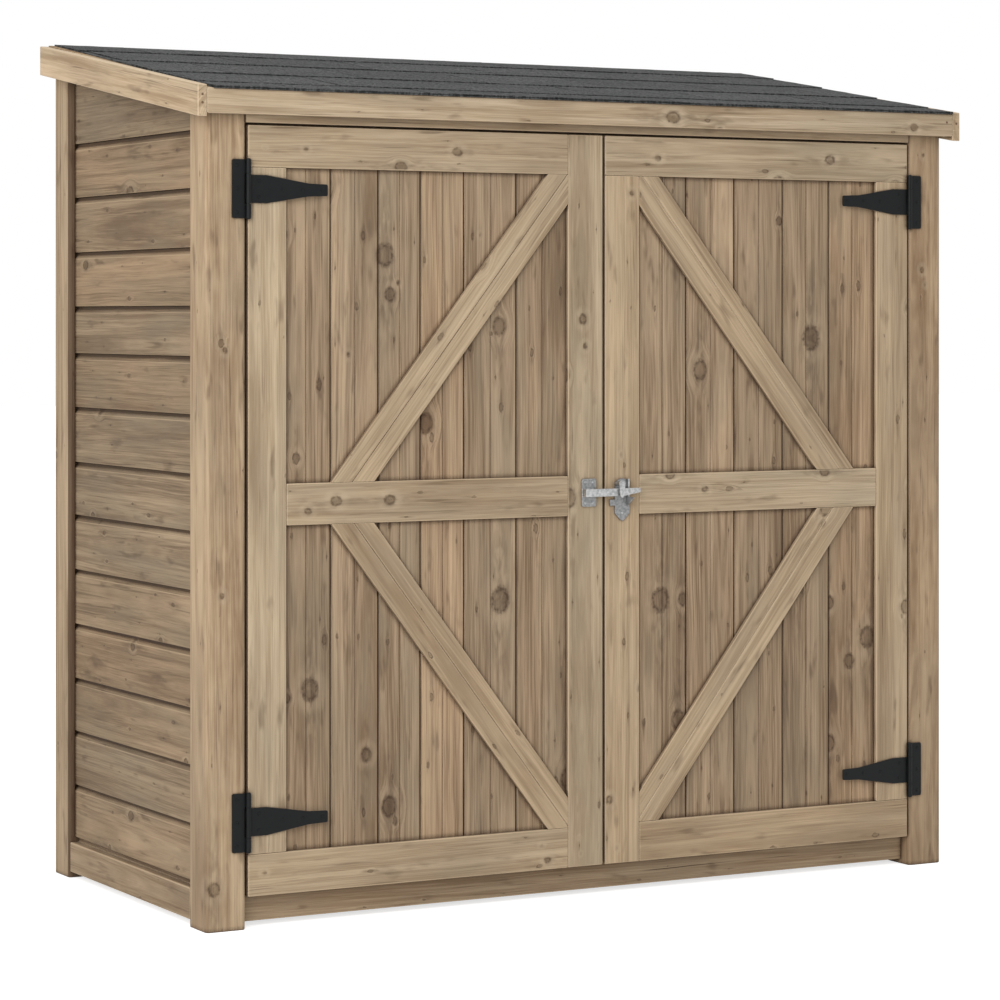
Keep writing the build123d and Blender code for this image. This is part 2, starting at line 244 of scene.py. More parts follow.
def joined(pieces, name):
    """Joins pieces into one object with a name."""
    only(*pieces)
    if len(pieces) > 1:
        bpy.ops.object.join()
    whole = bpy.context.view_layer.objects.active
    whole.name = name
    whole.data.name = name
    return whole


def places_of(piece):
    """All of a mesh's points as an array."""
    places = np.empty(3 * len(piece.data.vertices))
    piece.data.vertices.foreach_get("co", places)
    return places.reshape(-1, 3)


def middle_of(piece):
    """The middle of a piece's box."""
    places = places_of(piece)
    return (places.min(axis=0) + places.max(axis=0)) / 2


# %% [markdown]
# ## Which way the grain runs
#
# Wood is not a picture wrapped on a box: it is a solid with fibres along its length and rings
# around its heart. So each board carries its own coordinates in a mesh attribute named grain:
# the first number runs along the board, the second across its face, the third through it. The
# shader draws rings and knots in that space, and so end grain, edges and faces agree. Two more
# attributes make boards differ: tone is a random number for each board, and wear_and_painted_light
# marks the faces that the bevel made, which are lightened both as rubbed arrises and as a painted
# highlight along the edges. The same attribute carries painted shade where it is below 0, and a
# painted highlight on chosen top faces where it is above 1.

# %% Writing grain, tone, and the marks of wear and painted light
draw = random.Random(41)


def store(piece, name, kind, domain, values):
    """Writes one attribute on a piece's mesh."""
    layer = piece.data.attributes.new(name, kind, domain)
    layer.data.foreach_set("vector" if kind == "FLOAT_VECTOR" else "value", values.astype(np.float32).ravel())


def give_grain(piece, along=None):
    """Stores a board's own coordinates and its random tone."""
    places = places_of(piece)
    spans = places.max(axis=0) - places.min(axis=0)
    order = np.argsort(spans)
    depth = np.eye(3)[order[0]]
    along = np.eye(3)[order[2]] if along is None else np.array(along, float)
    across = np.cross(depth, along)
    local = places - middle_of(piece)
    shift = draw.uniform(2, 60)
    flip, turn = draw.choice((-1, 1)), draw.choice((-1, 1))
    grain = np.stack([local @ along + shift, flip * (local @ across), turn * (local @ depth)], axis=1)
    store(piece, "grain", "FLOAT_VECTOR", "POINT", grain)
    store(piece, "run", "FLOAT_VECTOR", "POINT", np.tile(along / np.linalg.norm(along), (len(places), 1)))
    store(piece, "tone", "FLOAT", "POINT", np.full(len(places), draw.random()))


def ease_edges(piece, width, segments=2, angle=30):
    """Takes the arris off every sharp edge and marks the new narrow faces, to be lightened as rubbed wear and as
    a painted highlight.
    """
    flats = np.array([face.normal for face in piece.data.polygons if face.area > width * width])
    modifier = piece.modifiers.new("arris", "BEVEL")
    modifier.width = width
    modifier.segments = segments
    modifier.limit_method = "ANGLE"
    modifier.angle_limit = math.radians(angle)
    only(piece)
    bpy.ops.object.modifier_apply(modifier="arris")
    facing = np.array([face.normal for face in piece.data.polygons])
    worn_and_highlit = (facing @ flats.T).max(axis=1) < math.cos(math.radians(2))
    store(piece, "wear_and_painted_light", "FLOAT", "FACE", worn_and_highlit.astype(float))


def dress(piece, *nodes):
    """Puts a finished piece on the body of the nodes that it stands for, with their slot and material."""
    piece.data.materials.clear()
    piece.data.materials.append(finishes[slot_of[nodes[0]]])
    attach(piece, body_of[nodes[0]])
    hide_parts(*nodes)
    return piece


# %% [markdown]
# ## Node trees without clicking
#
# A material is a tree of nodes. By hand each node is dropped in the Shader Editor and wired with
# the mouse. Small helpers do the same here: add a node and fill its sockets, do one sum, mix two
# colours, and so on. A colour is written as it looks on screen, from 0 to 255, and is turned into the
# linear values that the renderer uses.

# %% Helpers for node trees
def look(red, green, blue):
    """A colour as it looks on screen, as linear values."""
    linear = [((c / 255 + 0.055) / 1.055) ** 2.4 if c > 10 else c / 255 / 12.92 for c in (red, green, blue)]
    return (*linear, 1.0)


def put(tree, kind, sockets=None, **options):
    """Adds a node, sets its options, then fills its sockets with links or values."""
    made = tree.nodes.new(kind)
    for option, value in options.items():
        setattr(made, option, value)
    for socket, value in (sockets or {}).items():
        if isinstance(value, bpy.types.NodeSocket):
            tree.links.new(value, made.inputs[socket])
        else:
            made.inputs[socket].default_value = value
    return made


def sum_of(tree, operation, *values, clamp=False):
    """One Math node."""
    made = put(tree, "ShaderNodeMath", dict(enumerate(values)), operation=operation, use_clamp=clamp)
    return made.outputs[0]


def stretch(tree, vector, *scales):
    """A vector scaled by three factors."""
    return put(tree, "ShaderNodeVectorMath", {0: vector, 1: scales}, operation="MULTIPLY").outputs[0]


def triple(tree, x, y, z):
    """A vector from three numbers."""
    return put(tree, "ShaderNodeCombineXYZ", {0: x, 1: y, 2: z}).outputs[0]


def noise(tree, vector, scale=1.0, detail=2.0, roughness=0.5):
    """A noise texture's value."""
    sockets = {"Vector": vector, "Scale": scale, "Detail": detail, "Roughness": roughness}
    return put(tree, "ShaderNodeTexNoise", sockets).outputs[0]


def ramp(tree, value, low, high, out_low=0.0, out_high=1.0):
    """A soft step from one value to another."""
    sockets = {"Value": value, "From Min": low, "From Max": high, "To Min": out_low, "To Max": out_high}
    return put(tree, "ShaderNodeMapRange", sockets, interpolation_type="SMOOTHSTEP").outputs[0]


def blend(tree, share, under, over, mode="MIX"):
    """Two colours mixed."""
    made = put(tree, "ShaderNodeMix", {0: share, 6: under, 7: over}, data_type="RGBA", blend_type=mode)
    return made.outputs[2]


def new_group(name, inputs, outputs):
    """A node group with named sockets; gives its tree, input node and output node."""
    tree = bpy.data.node_groups.new(name, "ShaderNodeTree")
    for label, kind, value in inputs:
        socket = tree.interface.new_socket(label, in_out="INPUT", socket_type=kind)
        if value is not None:
            socket.default_value = value
    for label, kind in outputs:
        tree.interface.new_socket(label, in_out="OUTPUT", socket_type=kind)
    return tree, put(tree, "NodeGroupInput"), put(tree, "NodeGroupOutput")


# %% [markdown]
# ## Weathered softwood
#
# The shed is pressure-treated spruce that has stood outside for a season: soft brown with a trace
# of grey and green, pale and dark streaks along the boards, small dark knots with rings that bend
# round them. A photo of wood would repeat and would slide on other boards, so the wood is drawn
# from its structure. The distance from the heart of the tree gives the growth rings; a noise that
# is stretched along the fibres gives the streaks; the cells of a Voronoi texture place the knots,
# and near a knot the ring distance is pushed outwards, which bends the grain around it.

# %% The wood group
FLOAT, COLOR, VECTOR = "NodeSocketFloat", "NodeSocketColor", "NodeSocketVector"
wood_inputs = [
    ("Grain", VECTOR, None), ("Tone", FLOAT, 0.5), ("Wear And Painted Light", FLOAT, 0.0), ("Open", FLOAT, 1.0),
    ("Placed", FLOAT, 99.0), ("Placed Trail", FLOAT, 99.0),
    ("Pale", COLOR, None), ("Dark", COLOR, None), ("Knot", COLOR, None), ("Grey", COLOR, None),
    ("Knots", FLOAT, 1.0), ("Streaks", FLOAT, 1.0), ("Cracks", FLOAT, 0.0), ("Greying", FLOAT, 0.3),
]
wood_outputs = [("Color", COLOR), ("Roughness", FLOAT), ("Height", FLOAT)]
wood, wood_start, result = new_group("sawn_softwood", wood_inputs, wood_outputs)
given = wood_start.outputs


def times(*values):
    """A product in the wood group."""
    return sum_of(wood, "MULTIPLY", *values)


def times_plus(*values, clamp=False):
    """The first value times the second, plus the third."""
    return sum_of(wood, "MULTIPLY_ADD", *values, clamp=clamp)


def plus(*values):
    """A sum in the wood group."""
    return sum_of(wood, "ADD", *values)


def minus(*values):
    """A difference in the wood group."""
    return sum_of(wood, "SUBTRACT", *values)


def larger(*values):
    """The larger of two values."""
    return sum_of(wood, "MAXIMUM", *values)


def smaller(*values):
    """The smaller of two values."""
    return sum_of(wood, "MINIMUM", *values)


def scrambled(factor):
    """Another random number from 0 to 1, made from the board's tone."""
    return sum_of(wood, "FRACT", times(tone, factor))


def tinted(under, red, green, blue):
    """A colour multiplied by three factors."""
    return blend(wood, 1.0, under, (red, green, blue, 1.0), "MULTIPLY")


grain, tone = given["Grain"], given["Tone"]
parts = put(wood, "ShaderNodeSeparateXYZ", {0: grain}).outputs
along, across, depth = parts[0], parts[1], parts[2]


raked = plus(across, depth)
ragged = times(minus(noise(wood, grain, scale=150.0, detail=1.5), 0.5), 0.006)
uneven = times(minus(noise(wood, grain, scale=-120.0, detail=1.5), 0.5), 0.005)


def knots_in(scale_along, scale_across, smallest, range_of_size, rarity, squeeze):
    """Knots placed by flat cells: how far a point is from the nearest, in knot radii, and where."""
    cells = put(wood, "ShaderNodeTexVoronoi", {
        "Vector": triple(wood, times(along, scale_along), times(raked, scale_across), 0.0),
        "Scale": 1.0, "Randomness": 0.9}, feature="F1", voronoi_dimensions="2D")
    centre = put(wood, "ShaderNodeSeparateXYZ", {0: cells.outputs["Position"]}).outputs
    off_along = minus(along, sum_of(wood, "DIVIDE", centre[0], scale_along))
    off_across = minus(raked, sum_of(wood, "DIVIDE", centre[1], scale_across))
    luck = put(wood, "ShaderNodeSeparateColor", {0: cells.outputs["Color"]}).outputs
    radius = times_plus(sum_of(wood, "POWER", luck[0], 2.2), range_of_size, smallest)
    radius = times(radius, times(given["Knots"], sum_of(wood, "GREATER_THAN", luck[1], rarity)))
    radius = larger(radius, 0.00002)
    flat = triple(wood, times_plus(off_along, squeeze, ragged), plus(off_across, uneven), 0.0)
    away = put(wood, "ShaderNodeVectorMath", {0: flat}, operation="LENGTH").outputs["Value"]
    run = triple(wood, times(off_along, 0.11), off_across, 0.0)
    trail = put(wood, "ShaderNodeVectorMath", {0: run}, operation="LENGTH").outputs["Value"]
    return sum_of(wood, "DIVIDE", away, radius), sum_of(wood, "DIVIDE", trail, radius), off_across, away


big, big_trail, big_off, big_away = knots_in(2.4, 8.0, 0.007, 0.011, 0.58, 0.75)
small, small_trail, small_off, small_away = knots_in(7.0, 15.0, 0.0016, 0.0040, 0.45, 0.50)
big_reach = big
placed = times_plus(ragged, 60.0, given["Placed"])
big = smaller(big, placed)
big_trail = smaller(big_trail, given["Placed Trail"])
reach = smaller(big, small)
core = ramp(wood, reach, 1.15, 0.80)
rim = times(ramp(wood, reach, 0.68, 0.97), ramp(wood, reach, 1.36, 1.0))
rim = times(rim, ramp(wood, uneven, -0.0008, 0.0006, 0.30, 1.0))
halo = times(ramp(wood, big, 1.1, 1.5), ramp(wood, big, 2.9, 1.6))
smudge = ramp(wood, noise(wood, stretch(wood, grain, 24.0, 80.0, 80.0), detail=2.0), 0.34, 0.62)
tail = larger(ramp(wood, big_trail, 1.6, 0.3), ramp(wood, small_trail, 1.8, 0.2))
tail = times(larger(tail, ramp(wood, big, 2.4, 1.0, 0.0, 0.8)), smudge)

# The fibres part round a knot: the place across the board shrinks to the knot's middle line
part_big, part_small = ramp(wood, big_reach, 3.4, 0.9), ramp(wood, small, 3.0, 0.9)
flow = minus(across, times(big_off, part_big))
flow = minus(flow, times(small_off, part_small))
wander = minus(noise(wood, stretch(wood, grain, 1.6, 8.0, 8.0), detail=3.0, roughness=0.55), 0.5)
flow = times_plus(wander, 0.017, flow)

# Rings round a heart that lies beside the board, at a different place for every board
heart_y = times_plus(scrambled(7.31), 0.16, -0.08)
heart_z = times_plus(scrambled(13.77), 0.05, 0.022)
heart_z = times_plus(sum_of(wood, "SINE", times(along, 0.9)), 0.010, heart_z)
ring = put(wood, "ShaderNodeVectorMath", {
    0: triple(wood, plus(flow, heart_y), plus(depth, heart_z), 0.0)}, operation="LENGTH").outputs["Value"]


def streaks(per_metre_along, per_metre_across, detail, by_ring=True):
    """A noise drawn out along the fibres."""
    place = ring if by_ring else flow
    return noise(wood, triple(wood, times(along, per_metre_along), times(place, per_metre_across),
                              times_plus(tone, 9.0, times(depth, 12.0))), detail=detail, roughness=0.62)


# Streaks of four widths; the finest are short, as fibres are where a saw or plane has cut them
broad, middle = streaks(0.8, 30.0, 2.0), streaks(2.0, 120.0, 3.0)
fine, hair = streaks(5.0, 380.0, 3.0), streaks(11.0, 900.0, 2.0, by_ring=False)
streak = times_plus(broad, 0.24, times_plus(middle, 0.34, times_plus(fine, 0.27, times(hair, 0.15))))
streak = ramp(wood, streak, 0.37, 0.63)
share = times_plus(minus(streak, 0.5), given["Streaks"], 0.5, clamp=True)
color = blend(wood, share, given["Dark"], given["Pale"])

# Dark dashes: late wood and dirt held in the open grain, in places crowded and in places absent
shade = noise(wood, stretch(wood, grain, 1.9, 7.0, 7.0), detail=3.0, roughness=0.62)
dash_where = ramp(wood, shade, 0.62, 0.40)
dash = times(ramp(wood, streaks(4.5, 260.0, 2.0), 0.60, 0.72), times_plus(dash_where, 0.75, 0.25))
color = blend(wood, times(dash, 0.50), color, given["Knot"])
pale_dash = ramp(wood, streaks(3.4, 210.0, 2.0, by_ring=False), 0.62, 0.74)
color = blend(wood, times(pale_dash, 0.45), color, tinted(given["Pale"], 1.12, 1.12, 1.11))

# Weather: grey and dark patches, small dark smudges, and a tone of its own for every board
patches = noise(wood, stretch(wood, grain, 2.6, 11.0, 11.0), detail=3.0, roughness=0.65)
patches = ramp(wood, patches, 0.42, 0.66)
color = blend(wood, times(patches, given["Greying"]), color, given["Grey"])
level = times(ramp(wood, shade, 0.34, 0.66, 0.89, 1.07), times_plus(tone, 0.20, 0.90))
color = blend(wood, 1.0, color, triple(wood, level, level, level), "MULTIPLY")
warm = scrambled(5.17)
color = blend(wood, warm, color, tinted(color, 1.05, 0.985, 0.93))
blot = ramp(wood, noise(wood, stretch(wood, grain, 9.0, 34.0, 34.0), detail=2.0, roughness=0.55), 0.60, 0.78)
color = blend(wood, times(blot, 0.45), color, given["Knot"])

# Knots: a pale halo, a dark rim, a brown core with rings of its own, and the trails that run into them
color = blend(wood, times(halo, 0.35), color, given["Pale"])
color = blend(wood, times(tail, 0.42), color, given["Knot"])
knot_rings = noise(wood, triple(wood, times(smaller(big_away, small_away), 700.0), tone, 0.0), detail=2.0)
ring_color = blend(wood, 0.55, given["Knot"], given["Dark"])
core_color = blend(wood, ramp(wood, knot_rings, 0.38, 0.62), given["Knot"], ring_color)
color = blend(wood, times(core, 0.46), color, core_color)
color = blend(wood, times(rim, 0.66), color, tinted(given["Knot"], 0.62, 0.60, 0.60))

# Drying cracks follow the fibres for a hand's length or more
split_line = noise(wood, triple(wood, times(along, 1.6), times(flow, 130.0), tone), detail=0.5)
where = ramp(wood, noise(wood, stretch(wood, grain, 1.8, 5.0, 5.0), detail=0.0), 0.53, 0.60)
crack = times(ramp(wood, split_line, 0.70, 0.78), where)
crack = times(crack, given["Cracks"])
color = blend(wood, times(crack, 0.85), color, tinted(given["Knot"], 0.6, 0.6, 0.6))

# Arrises are rubbed pale and get a painted highlight; corners and joints that see little sky, and faces marked
# below 0, get painted shade
arris = times(given["Wear And Painted Light"], times_plus(middle, 0.6, 0.30))
arris = times(arris, ramp(wood, given["Open"], 0.60, 0.90))
color = blend(wood, arris, color, tinted(given["Pale"], 1.16, 1.14, 1.12))
# Painted shade: the colour goes towards the knot colour where the ambient occlusion is low, and on faces marked
# below 0
painted_shade = times_plus(minus(fine, 0.5), 0.25, given["Open"])
painted_shade = larger(ramp(wood, painted_shade, 0.90, 0.30), times(given["Wear And Painted Light"], -0.85))
color = blend(wood, times(painted_shade, 0.90), color, tinted(given["Knot"], 0.58, 0.44, 0.35))
wood.links.new(color, result.inputs["Color"])

# Matt all over, a little smoother on the hard late wood; the fibres stand up in narrow ridges
wood.links.new(ramp(wood, streak, 0.0, 1.0, 0.70, 0.86), result.inputs["Roughness"])
ridges = noise(wood, stretch(wood, grain, 5.0, 330.0, 330.0), detail=2.0, roughness=0.6)
wood.links.new(ridges, result.inputs["Height"])
print("The wood group has", len(wood.nodes), "nodes")

# %% [markdown]
# ## One wood, several finishes
#
# The posts, the wall boards, the door frames, the door boards and the trim are the same timber,
# sawn and weathered differently. So each is its own material around the same group, with its own
# colours and amounts of knots, streaks and cracks.

# %% Wood materials
finishes = {}


def blank_material(name):
    """A new material with its tree and its surface node."""
    material = bpy.data.materials.new(name)
    material.use_nodes = True
    return material, material.node_tree, material.node_tree.nodes["Principled BSDF"]


def stored(tree, label, output="Fac"):
    """What the mesh stores under a name."""
    return put(tree, "ShaderNodeAttribute", attribute_name=label).outputs[output]


knot_inputs = [
    ("Place", VECTOR, None), ("Run", VECTOR, None), ("Centre", VECTOR, None),
    ("Radius", FLOAT, 0.01), ("Reach", FLOAT, 99.0), ("Trail", FLOAT, 99.0)]
spot, spot_start, spot_result = new_group("placed_knot", knot_inputs, [("Reach", FLOAT), ("Trail", FLOAT)])
mark = spot_start.outputs
away = put(spot, "ShaderNodeVectorMath", {0: mark["Place"], 1: mark["Centre"]}, operation="SUBTRACT")
away = away.outputs[0]
down = put(spot, "ShaderNodeVectorMath", {0: away, 1: mark["Run"]}, operation="DOT_PRODUCT").outputs["Value"]
total = put(spot, "ShaderNodeVectorMath", {0: away, 1: away}, operation="DOT_PRODUCT").outputs["Value"]
down = sum_of(spot, "MULTIPLY", down, down)
beside = sum_of(spot, "SUBTRACT", total, down)
for label, squeeze in (("Reach", 0.60), ("Trail", 0.012)):
    length = sum_of(spot, "MAXIMUM", sum_of(spot, "MULTIPLY_ADD", down, squeeze, beside), 0.0)
    length = sum_of(spot, "DIVIDE", sum_of(spot, "SQRT", length), mark["Radius"])
    spot.links.new(sum_of(spot, "MINIMUM", length, mark[label]), spot_result.inputs[label])

# The larger knots of the front, listed one by one: column and row in the picture, radius in metres
KNOT_DEPTH = -0.454
KNOT_MARKS = {
    "door_boards": (BOARD_FACE, [
        (385, 255, 0.019), (500, 600, 0.021), (310, 690, 0.018), (660, 600, 0.021),
        (811, 338, 0.021), (867, 637, 0.019), (849, 661, 0.014), (366, 755, 0.012),
        (398, 283, 0.006), (275, 349, 0.005), (491, 334, 0.006), (348, 355, 0.006),
        (760, 350, 0.006), (480, 235, 0.005)]),
    "door_frame": (FRAME_FACE, [
        (306, 149, 0.006), (265, 147, 0.004), (457.5, 152, 0.01), (336, 501, 0.011),
        (390, 500, 0.011), (308, 511, 0.008), (583, 319, 0.01), (585, 346, 0.007),
        (658, 158, 0.008), (830, 160, 0.011), (632, 193, 0.007), (542, 845, 0.005),
        (547.5, 860, 0.008), (579.4, 837.7, 0.004), (580.7, 853.6, 0.004), (617.5, 848, 0.005),
        (609, 800, 0.009), (264.5, 873, 0.006), (621, 455, 0.005), (705, 489, 0.008)]),
    "post_timber": (FRAME_FACE, [
        (214, 890, 0.013), (225, 350, 0.007), (923, 155, 0.006), (925, 285, 0.005),
        (922, 270, 0.007), (222, 596, 0.007)]),
}


def wood_finish(name, pale, dark, knot, grey, knots, streaks, cracks, greying):
    """A material around the wood group, with this finish's own values and its placed knots."""
    material, tree, surface = blank_material(name)
    # The ambient occlusion drives painted shade in corners and joints, and dims the painted edge highlight there
    open_sky = put(tree, "ShaderNodeAmbientOcclusion", {"Distance": 0.012}, samples=2).outputs["AO"]
    group = put(tree, "ShaderNodeGroup", {
        "Grain": stored(tree, "grain", "Vector"), "Tone": stored(tree, "tone"), "Wear And Painted Light": stored(tree, "wear_and_painted_light"),
        "Open": open_sky, "Pale": look(*pale), "Dark": look(*dark), "Knot": look(*knot), "Grey": look(*grey),
        "Knots": knots, "Streaks": streaks, "Cracks": cracks, "Greying": greying}, node_tree=wood)
    if name in KNOT_MARKS:
        place = put(tree, "ShaderNodeTexCoord").outputs["Object"]
        run = stored(tree, "run", "Vector")
        face, marks = KNOT_MARKS[name]
        nearest = None
        for column, row, radius in marks:
            x, _, height = carried(column, row, 1, face)
            centre = (round(x, 3), KNOT_DEPTH, round(height, 3))
            sockets = {"Place": place, "Run": run, "Centre": centre, "Radius": radius}
            if nearest is not None:
                sockets.update({"Reach": nearest.outputs["Reach"], "Trail": nearest.outputs["Trail"]})
            nearest = put(tree, "ShaderNodeGroup", sockets, node_tree=spot)
        tree.links.new(nearest.outputs["Reach"], group.inputs["Placed"])
        tree.links.new(nearest.outputs["Trail"], group.inputs["Placed Trail"])
    tree.links.new(group.outputs["Color"], surface.inputs["Base Color"])
    tree.links.new(group.outputs["Roughness"], surface.inputs["Roughness"])
    surface.inputs["Specular IOR Level"].default_value = 0.25
    height = group.outputs["Height"]
    bump = put(tree, "ShaderNodeBump", {"Height": height, "Strength": 0.55, "Distance": 0.0012})
    tree.links.new(bump.outputs["Normal"], surface.inputs["Normal"])
    finishes[name] = material


wood_finish("post_timber", (189, 168, 140), (140, 117, 91), (78, 57, 40), (158, 146, 124),
            knots=0.45, streaks=1.0, cracks=1.0, greying=0.25)
wood_finish("wall_boards", (170, 149, 122), (112, 92, 70), (66, 48, 34), (132, 122, 102),
            knots=0.8, streaks=0.95, cracks=0.4, greying=0.32)
wood_finish("door_frame", (201, 181, 152), (156, 135, 108), (88, 67, 49), (164, 152, 130),
            knots=0.9, streaks=1.0, cracks=0.3, greying=0.28)
wood_finish("door_boards", (186, 163, 135), (128, 106, 83), (72, 52, 37), (144, 134, 114),
            knots=1.0, streaks=1.1, cracks=0.3, greying=0.32)
wood_finish("trim_boards", (208, 188, 160), (160, 138, 110), (84, 62, 42), (168, 158, 134),
            knots=0.8, streaks=1.0, cracks=0.2, greying=0.20)
wood_finish("inner_timber", (188, 160, 124), (148, 120, 86), (84, 56, 34), (150, 136, 108),
            knots=0.9, streaks=0.9, cracks=0.2, greying=0.10)
print("Wood finishes:", sorted(finishes))

# %% [markdown]
# ## Felt, iron and zinc
#
# Shed felt is bitumen with slate granules rolled into it, so it is dark grey, speckled at a
# millimetre or two, and quite matt. The hinges are black powder-coated iron and the latch is
# zinc-plated steel, with faint cloudy crystals. None of them has a grain, so they read the
# object's own coordinates.

# %% Felt and metal materials
def speckled_felt(name):
    """Mineral felt: granules of several greys, with broad weathered clouds."""
    material, tree, surface = blank_material(name)
    place = put(tree, "ShaderNodeTexCoord").outputs["Object"]
    tone_read = stored(tree, "tone")
    grit = put(tree, "ShaderNodeTexVoronoi", {"Vector": place, "Scale": 420.0})
    grey = put(tree, "ShaderNodeSeparateColor", {0: grit.outputs["Color"]}).outputs[0]
    coarse = noise(tree, stretch(tree, place, 190.0, 90.0, 90.0), detail=3.0, roughness=0.7)
    cloud = noise(tree, stretch(tree, place, 3.0, 9.0, 9.0), detail=3.0, roughness=0.6)
    clumps = sum_of(tree, "MULTIPLY", ramp(tree, coarse, 0.40, 0.64), 0.75)
    share = sum_of(tree, "MULTIPLY_ADD", grey, 0.25, clumps)
    color = blend(tree, share, look(10, 12, 13), look(112, 113, 112))
    color = blend(tree, sum_of(tree, "MULTIPLY", ramp(tree, cloud, 0.35, 0.7), 0.35), color, look(48, 49, 50))
    level = sum_of(tree, "MULTIPLY_ADD", tone_read, 0.25, 0.82)
    color = blend(tree, 1.0, color, triple(tree, level, level, level), "MULTIPLY")
    tree.links.new(color, surface.inputs["Base Color"])
    tree.links.new(ramp(tree, grey, 0.0, 1.0, 0.78, 0.95), surface.inputs["Roughness"])
    surface.inputs["Specular IOR Level"].default_value = 0.3
    lift = sum_of(tree, "ADD", sum_of(tree, "MULTIPLY", coarse, 0.8), sum_of(tree, "MULTIPLY", grey, 0.5))
    bump = put(tree, "ShaderNodeBump", {"Height": lift, "Strength": 0.7, "Distance": 0.0015})
    tree.links.new(bump.outputs["Normal"], surface.inputs["Normal"])
    finishes[name] = material


def metal_finish(name, body_color, cloud_color, bright_color, metallic, shine, roughness, cloud_scale):
    """Painted or plated metal with clouds, fine pits and lighter worn arrises."""
    material, tree, surface = blank_material(name)
    place = put(tree, "ShaderNodeTexCoord").outputs["Object"]
    wear_and_painted_light = stored(tree, "wear_and_painted_light")
    cells = put(tree, "ShaderNodeTexVoronoi", {"Vector": place, "Scale": cloud_scale})
    crystal = put(tree, "ShaderNodeSeparateColor", {0: cells.outputs["Color"]}).outputs[0]
    cloud = noise(tree, place, scale=cloud_scale * 0.35, detail=3.0)
    pits = noise(tree, place, scale=900.0, detail=2.0)
    clouds = sum_of(tree, "MULTIPLY", ramp(tree, cloud, 0.3, 0.7), 0.6)
    share = sum_of(tree, "MULTIPLY_ADD", crystal, 0.4, clouds)
    color = blend(tree, share, look(*body_color), look(*cloud_color))
    dull = ramp(tree, stored(tree, "tone"), 0.0, 1.0, 0.60, 1.0)
    color = blend(tree, 1.0, color, triple(tree, dull, dull, dull), "MULTIPLY")
    rub = sum_of(tree, "MULTIPLY", wear_and_painted_light, sum_of(tree, "MULTIPLY", ramp(tree, pits, 0.4, 0.6), 0.7))
    color = blend(tree, rub, color, look(*bright_color))
    tree.links.new(color, surface.inputs["Base Color"])
    low, high = roughness
    tree.links.new(ramp(tree, share, 0.0, 1.0, low, high), surface.inputs["Roughness"])
    surface.inputs["Metallic"].default_value = metallic
    surface.inputs["Specular IOR Level"].default_value = shine
    bump = put(tree, "ShaderNodeBump", {"Height": pits, "Strength": 0.25, "Distance": 0.0003})
    tree.links.new(bump.outputs["Normal"], surface.inputs["Normal"])
    finishes[name] = material


speckled_felt("roofing_felt")
metal_finish("black_iron", (11, 13, 14), (18, 20, 21), (70, 74, 75), 0.0, 0.20, (0.42, 0.56), 120.0)
metal_finish("galvanised_steel", (138, 140, 142), (206, 206, 205), (226, 226, 224), 0.7, 0.5,
             (0.32, 0.55), 420.0)
metal_finish("rusty_nail", (92, 70, 52), (124, 98, 74), (140, 116, 90), 0.1, 0.3, (0.6, 0.8), 300.0)
print("All finishes:", sorted(finishes))

# %% [markdown]
# ## Posts, rails, sill, header and the door frames
#
# These timbers are single sawn lengths, so each is its solid with the arris taken off and a grain
# of its own. The rounded corner posts keep the rounding that the solid has. A node with two
# braces or three bearers is split first, because each length has its own grain and tone.

# %% Single timbers
ROOF_FALL = math.atan2(153, 920)
DOWN_ROOF = Vector((0, math.cos(ROOF_FALL), math.sin(ROOF_FALL)))


def brace_direction(piece):
    """The way a raking brace runs: the direction of its longest edge."""
    places = places_of(piece)
    edges = [places[edge.vertices[1]] - places[edge.vertices[0]] for edge in piece.data.edges]
    longest = max(edges, key=lambda run: float(np.dot(run, run)))
    return longest / np.linalg.norm(longest)


def score(piece, share, width, depth):
    """Presses a fine groove along the front of a brace, at a share of its width."""
    run = Vector(brace_direction(piece))
    side = Vector((run.z, 0, -run.x))
    front = min(point.co.y for point in piece.data.vertices)
    reach = sorted(point.co.dot(side) for point in piece.data.vertices)
    place = reach[0] + (reach[-1] - reach[0]) * share
    for shift in (-width / 2, 0, width / 2):
        saw(piece, side * (place + shift), side)
    bpy.ops.object.mode_set(mode="EDIT")
    pick(piece, "VERT", lambda co: co.y < front + 1e-4 and abs(co.dot(side) - place) < width / 8)
    bpy.ops.transform.translate(value=(0, depth, 0))
    bpy.ops.object.mode_set(mode="OBJECT")


def move_points(piece, test, rule):
    """Moves the points that pass a test by a rule that gives each its shift."""
    for point in piece.data.vertices:
        if test(point.co):
            point.co += rule(point.co)


def mark_faces(piece, test, value):
    """Sets the wear_and_painted_light value of the faces that pass a test: 1 is a rubbed arris with a painted
    highlight, above 1 a stronger painted highlight, below 0 is painted shade.
    """
    layer = piece.data.attributes["wear_and_painted_light"]
    for face in piece.data.polygons:
        if test(face.center, face.normal):
            layer.data[face.index].value = value


def timber(node, arris=0.0018, direction=None, shape=None):
    """A node's timbers with eased edges, grain and tone, joined as one piece."""
    lengths = loose_parts(copy_of(node, node + "_timber"))
    for length in lengths:
        if shape:
            shape(length)
        if node.endswith("braces"):
            score(length, draw.uniform(0.46, 0.60), 0.0036, 0.0022)
        ease_edges(length, arris)
        give_grain(length, direction(length) if callable(direction) else direction)
    return dress(joined(lengths, node + "_timber"), node)


def rake_bearer(bearer):
    """Cuts a bearer's front end back under the sill, where the ground is wet."""
    low, front = places_of(bearer).min(axis=0)[2], places_of(bearer).min(axis=0)[1]
    move_points(bearer, lambda co: co.z < low + 0.02 and co.y < front + 0.001, lambda co: Y_AXIS * 0.06)


def sag_barge(front_drop, back_drop):
    """A bargeboard fixed a little lower towards the back, as in the photo."""
    def rule(co):
        share = co.y + 0.5
        return -Z_AXIS * (front_drop + (back_drop - front_drop) * share)
    return lambda barge: move_points(barge, lambda co: True, rule)


